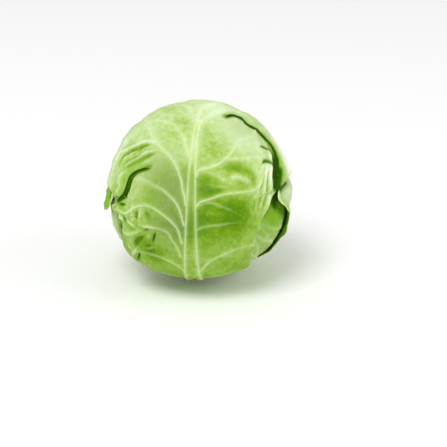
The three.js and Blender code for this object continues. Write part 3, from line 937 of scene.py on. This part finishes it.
def make_inner_head():
    """The ball of folded inner leaves, with three leaf edges in low relief round it and a tapered hole
    for the core, open below."""
    wraps = [Leaf("wrap", azimuth, INNER_SIDE, INNER_SIDE, 0) for azimuth in (20, 140, 260)]
    nominal = 74.0
    tunnel = resample([(0, 94.5), (4.5, 94.5), (13.5, 14.5)], 3.0)
    polar = np.linspace(math.radians(16), math.pi, 90)
    skin = np.stack([nominal * np.sin(polar), HEAD_MIDDLE - nominal * np.cos(polar)], -1)
    skin[-1, 0] = 0

    def shape(radius, height, angle):
        up = height - HEAD_MIDDLE + 0 * angle
        point = np.stack([radius * np.cos(angle), radius * np.sin(angle), up], -1)
        out = np.linalg.norm(point, axis=-1, keepdims=True)
        d = point / out
        depth, _, _ = layers_over(-1, d)
        ball = head_radius(d) - (LEAF_THICKNESS + LEAF_GAP) * depth + LEAF_GAP - BALL_GAP - 0.3
        for i, wrap in enumerate(wraps):
            edge = 1 - cover(wrap.past_margin(d), 0, 1.5)
            ball = ball - 0.45 * edge - 0.2 * np.abs(waves(d, 24, 60 + i))
        ball += front_press(d) * 0.05
        share = smooth(out[..., 0], 68, 72)
        return MIDDLE + d * (out[..., 0] * (1 - share) + ball * share)[..., None]

    return turned_mesh("folded_ball", np.concatenate([tunnel, skin]), shape, 130, {})


# ---------------------------------------------------------------- finishes

def paint(red, green, blue):
    """A colour from its screen values of 0 to 255."""
    screen = np.array([red, green, blue]) / 255
    linear = np.where(screen <= 0.04045, screen / 12.92, ((screen + 0.055) / 1.055) ** 2.4)
    return (*(float(c) for c in linear), 1.0)


class Finish:
    """A material's nodes. An input is a number, a colour, or another node's output."""

    def __init__(self, name):
        self.material = bpy.data.materials.new(name)
        self.material.use_nodes = True
        self.tree = self.material.node_tree
        self.tree.nodes.clear()

    def add(self, kind, inputs, **settings):
        """A node of a kind with its inputs and settings, as its outputs."""
        node = self.tree.nodes.new("ShaderNode" + kind)
        for key, value in settings.items():
            setattr(node, key, value)
        for key, value in inputs.items():
            if isinstance(value, bpy.types.NodeSocket):
                self.tree.links.new(value, node.inputs[key])
            else:
                node.inputs[key].default_value = value
        return node.outputs

    def field(self, name):
        return self.add("Attribute", {}, attribute_name=name)["Fac"]

    def sum(self, a, b):
        return self.add("Math", {0: a, 1: b}, operation="ADD")[0]

    def times(self, a, b):
        return self.add("Math", {0: a, 1: b}, operation="MULTIPLY")[0]

    def between(self, value, low, high, start=0.0, end=1.0):
        """Start below low, end above high, and a smooth step from one to the other between them."""
        return self.add("MapRange", {"Value": value, "From Min": low, "From Max": high, "To Min": start,
                                     "To Max": end}, interpolation_type="SMOOTHSTEP")[0]

    def mix(self, share, a, b):
        return self.add("Mix", {0: share, 6: a, 7: b}, data_type="RGBA")[2]

    def noise(self, where, size, detail=3.0, roughness=0.5):
        """Noise from 0 to 1 about 0.5, with lumps of a size in millimetres on Object coordinates."""
        return self.add("TexNoise", {"Vector": where, "Scale": 1 / (size * MM), "Detail": detail,
                                     "Roughness": roughness})["Fac"]

    def ramp(self, value, *stops):
        """A colour for a value, from stops of (place, colour) with straight runs between them."""
        outputs = self.add("ValToRGB", {"Fac": value})
        elements = self.tree.nodes[-1].color_ramp.elements
        for at, color in stops[2:]:
            elements.new(at)
        for element, (at, color) in zip(elements, sorted(stops)):
            element.position, element.color = at, color
        return outputs["Color"]

    def close(self, **inputs):
        """The finished surface, its inputs named as the shader's with _ for spaces."""
        surface = self.add("BsdfPrincipled", {key.replace("_", " "): v for key, v in inputs.items()})
        self.add("OutputMaterial", {"Surface": surface[0]})
        return self.material


def leaf_finish(name, paler, bloom):
    """Cabbage leaf: green that pales with the tone field, a waxy bloom, cream veins with a fine net
    between them, a painted bright green glow of light through thin or folded leaf, painted shade, an inner
    face of brighter green lifted as painted light, and paler by an amount all over."""
    f = Finish(name)
    place = f.add("TexCoord", {})["Object"]
    chart = f.add("UVMap", {}, uv_map="LeafChart")["UV"]
    broad = f.noise(place, 28)
    fine = f.noise(place, 5, 4, 0.6)
    tone = f.sum(f.field("tone"), paler)
    tone = f.sum(tone, f.between(broad, 0.3, 0.7, -0.07, 0.07))
    tone = f.sum(tone, f.between(fine, 0.3, 0.7, -0.08, 0.08))
    body = f.field("body")
    tone = f.sum(tone, f.between(body, 1.0, -1.5, 0.0, 0.05))
    color = f.ramp(f.times(tone, 0.8), (0.0, paint(86, 134, 0)), (0.2, paint(112, 156, 8)),
                   (0.4, paint(147, 184, 68)), (0.6, paint(188, 213, 138)), (0.8, paint(214, 233, 188)),
                   (1.0, paint(242, 249, 224)))
    wax = f.times(f.field("wax"), f.between(fine, 0.25, 0.6, 0.5, 1.0))
    color = f.mix(f.times(wax, bloom), color, paint(130, 157, 86))

    warp = f.add("TexNoise", {"Vector": chart, "Scale": 9.0, "Detail": 2.0})["Color"]
    bent = f.add("VectorMath", {0: warp, 1: (0.07, 0.07, 0.0)}, operation="MULTIPLY")[0]
    bent = f.add("VectorMath", {0: chart, 1: bent}, operation="ADD")[0]
    wide = f.add("TexVoronoi", {"Vector": bent, "Scale": 9.0}, feature="DISTANCE_TO_EDGE")["Distance"]
    small = f.add("TexVoronoi", {"Vector": bent, "Scale": 30.0}, feature="DISTANCE_TO_EDGE")["Distance"]
    rib = f.field("rib")
    blade = f.times(f.between(rib, 0.0, 3.0), f.between(body, -0.5, 1.5))
    net = f.times(f.between(wide, 0.035, 0.0), blade)
    mesh = f.times(f.between(small, 0.08, 0.0), blade)
    pale = f.between(tone, 0.0, 0.5, 0.35, 1.0)
    color = f.mix(f.times(f.times(net, 0.13), pale), color, paint(206, 222, 150))
    color = f.mix(f.times(f.times(mesh, 0.10), pale), color, paint(206, 222, 150))
    color = f.mix(f.between(rib, 2.6, 0.2, 0.0, 0.25), color, paint(214, 230, 168))
    color = f.mix(f.between(rib, 0.8, -0.4, 0.0, 0.60), color, paint(220, 234, 178))
    # Painted glow: bright green for light coming through thin, folded or covered leaf.
    color = f.mix(f.times(f.field("lip"), 0.85), color, paint(132, 184, 36))
    color = f.mix(f.between(f.field("edge"), 1.6, 0.1, 0.0, 0.3), color, paint(222, 234, 176))
    # Painted shade: dark green where the leaf lies in shade.
    color = f.mix(f.between(f.field("painted_shade"), 0.0, 0.85), color, paint(50, 92, 0))
    # Inner face: a brighter green of its own, lifted further as painted light against its shadow.
    color = f.mix(f.times(f.field("inside"), 0.85), color, paint(158, 214, 50))

    height = f.sum(f.times(fine, 0.35), f.times(net, 0.25))
    height = f.sum(height, f.times(mesh, 0.12))
    bump = f.add("Bump", {"Height": height, "Strength": 0.5, "Distance": 0.6 * MM})[0]
    rough = f.sum(f.between(fine, 0.3, 0.7, 0.42, 0.56), f.times(f.field("painted_shade"), 0.35))
    return f.close(Base_Color=color, Roughness=rough, Normal=bump, Specular_IOR_Level=0.05)


def stem_finish():
    """Cut stump: cream pith with darker woody dots in a ring, a drying greenish bark, fine grain."""
    f = Finish("cut_stump_cream")
    place = f.add("TexCoord", {})["Object"]
    grain = f.noise(place, 1.6, 4, 0.6)
    stain = f.noise(place, 9, 3, 0.55)
    radius = f.field("radius")
    color = f.mix(f.between(stain, 0.35, 0.65), paint(226, 218, 178), paint(206, 192, 142))
    ring = f.times(f.between(radius, 9.5, 11.5), f.between(radius, 14.5, 13.0))
    dots = f.add("TexVoronoi", {"Vector": place, "Scale": 420.0})["Distance"]
    color = f.mix(f.times(ring, f.between(dots, 0.5, 0.2, 0.1, 0.75)), color, paint(172, 150, 96))
    color = f.mix(f.between(radius, 15.2, 16.4, 0.0, 0.7), color, paint(196, 206, 140))
    color = f.mix(f.between(grain, 0.5, 0.8, 0.0, 0.25), color, paint(160, 138, 92))
    bump = f.add("Bump", {"Height": grain, "Strength": 0.4, "Distance": 0.4 * MM})[0]
    return f.close(Base_Color=color, Roughness=0.72, Normal=bump, Specular_IOR_Level=0.3)


def ball_finish():
    """Inner leaves: cream white to pale yellow-green, with a faint vein net."""
    f = Finish("folded_ball_cream")
    place = f.add("TexCoord", {})["Object"]
    broad = f.noise(place, 35)
    color = f.mix(f.between(broad, 0.35, 0.65), paint(232, 238, 196), paint(214, 228, 160))
    net = f.add("TexVoronoi", {"Vector": place, "Scale": 90.0}, feature="DISTANCE_TO_EDGE")["Distance"]
    color = f.mix(f.between(net, 0.06, 0.0, 0.0, 0.5), color, paint(240, 243, 214))
    bump = f.add("Bump", {"Height": broad, "Strength": 0.3, "Distance": 0.5 * MM})[0]
    return f.close(Base_Color=color, Roughness=0.5, Normal=bump, Specular_IOR_Level=0.4)


# ---------------------------------------------------------------- the head

front_green = leaf_finish("front_leaf_green", 0.0, 0.9)
wrapper_green = leaf_finish("wrapper_leaf_green", 0.0, 0.6)
heart_green = leaf_finish("heart_leaf_pale_green", 0.35, 0.3)

for k, leaf in enumerate(LEAVES):
    if leaf is FRONT:
        piece = make_front_leaf(FRONT_CELLS)
        material, slot = front_green, "front_leaf"
    elif leaf.name in WRAPPER_CELLS:
        piece = make_wrapper(k, WRAPPER_CELLS[leaf.name], 100 + 10 * k)
        material, slot = wrapper_green, "wrapper_leaf"
    else:
        piece = make_wrapper(k, HEART_CELLS, 100 + 10 * k)
        material, slot = heart_green, "heart_leaf"
    piece.data.materials.append(material)
    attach(piece, "root")
    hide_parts(leaf.name)

for piece, node, slot, material in ((make_stem(), "stem", "cut_stem", stem_finish()),
                                    (make_inner_head(), "inner_head", "inner_head", ball_finish())):
    piece.data.materials.append(material)
    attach(piece, "root")
    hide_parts(node)

# ---------------------------------------------------------------- floor, light and camera

FLOOR_HALF = 6000.0
corners = np.array([[-1, -1, 0], [1, -1, 0], [1, 1, 0], [-1, 1, 0]]) * FLOOR_HALF
under = np.array([MIDDLE[0], MIDDLE[1], 0])
floor = mesh_object("pale_floor", (corners + under) * MM, np.array([[0, 1, 2, 3]]))
floor_finish = Finish("pale_floor_white")
floor.data.materials.append(floor_finish.close(Base_Color=paint(250, 250, 250), Roughness=0.9,
                                               Specular_IOR_Level=0.1))


def aimed(name, data, place, aim):
    """An object at a place that looks at another, upright: its -Z runs from the one to the other."""
    back = unit(place - aim)
    right = unit(np.cross([0, 0, 1], back))
    up = np.cross(back, right)
    turn = np.stack([right, up, back], -1)
    thing = bpy.data.objects.new(name, data)
    thing.matrix_world = Matrix([[*turn[i], place[i] * MM] for i in range(3)] + [[0, 0, 0, 1]])
    bpy.context.scene.collection.objects.link(thing)
    return thing


def soft_box(name, azimuth, elevation, distance, size, power):
    """A square light at an azimuth round from the front, to the right, and an elevation, in degrees."""
    data = bpy.data.lights.new(name, "AREA")
    data.shape, data.size, data.energy = "SQUARE", size * MM, power
    aimed(name, data, MIDDLE + globe((azimuth, elevation))[0] * distance, MIDDLE)


soft_box("key_light", azimuth=-32, elevation=58, distance=3500.0, size=1700.0, power=64.0)
soft_box("fill_light", azimuth=75, elevation=28, distance=3500.0, size=2000.0, power=22.0)

WORLD_LIGHT = 0.64
world = bpy.data.worlds.new("pale_studio")
bpy.context.scene.world = world
world.use_nodes = True
background = world.node_tree.nodes["Background"]
background.inputs["Color"].default_value = (1.0, 1.0, 1.0, 1.0)
background.inputs["Strength"].default_value = WORLD_LIGHT
bpy.context.scene.view_settings.view_transform = "Standard"

camera_data = bpy.data.cameras.new("view_camera")
camera_data.sensor_fit = "HORIZONTAL"
camera_data.sensor_width = SENSOR_WIDTH
camera_data.lens = FOCAL_PIXELS * SENSOR_WIDTH / VIEW_SIZE
camera_data.clip_end = 20
millimetres = CAMERA_DISTANCE / FOCAL_PIXELS
aim = (MIDDLE + VIEW_RIGHT * (VIEW_SIZE / 2 - HEAD_CIRCLE_X) * millimetres
       - VIEW_UP * (VIEW_SIZE / 2 - HEAD_CIRCLE_Y) * millimetres)
bpy.context.scene.camera = aimed("view_camera", camera_data, MIDDLE + TO_CAMERA * CAMERA_DISTANCE, aim)
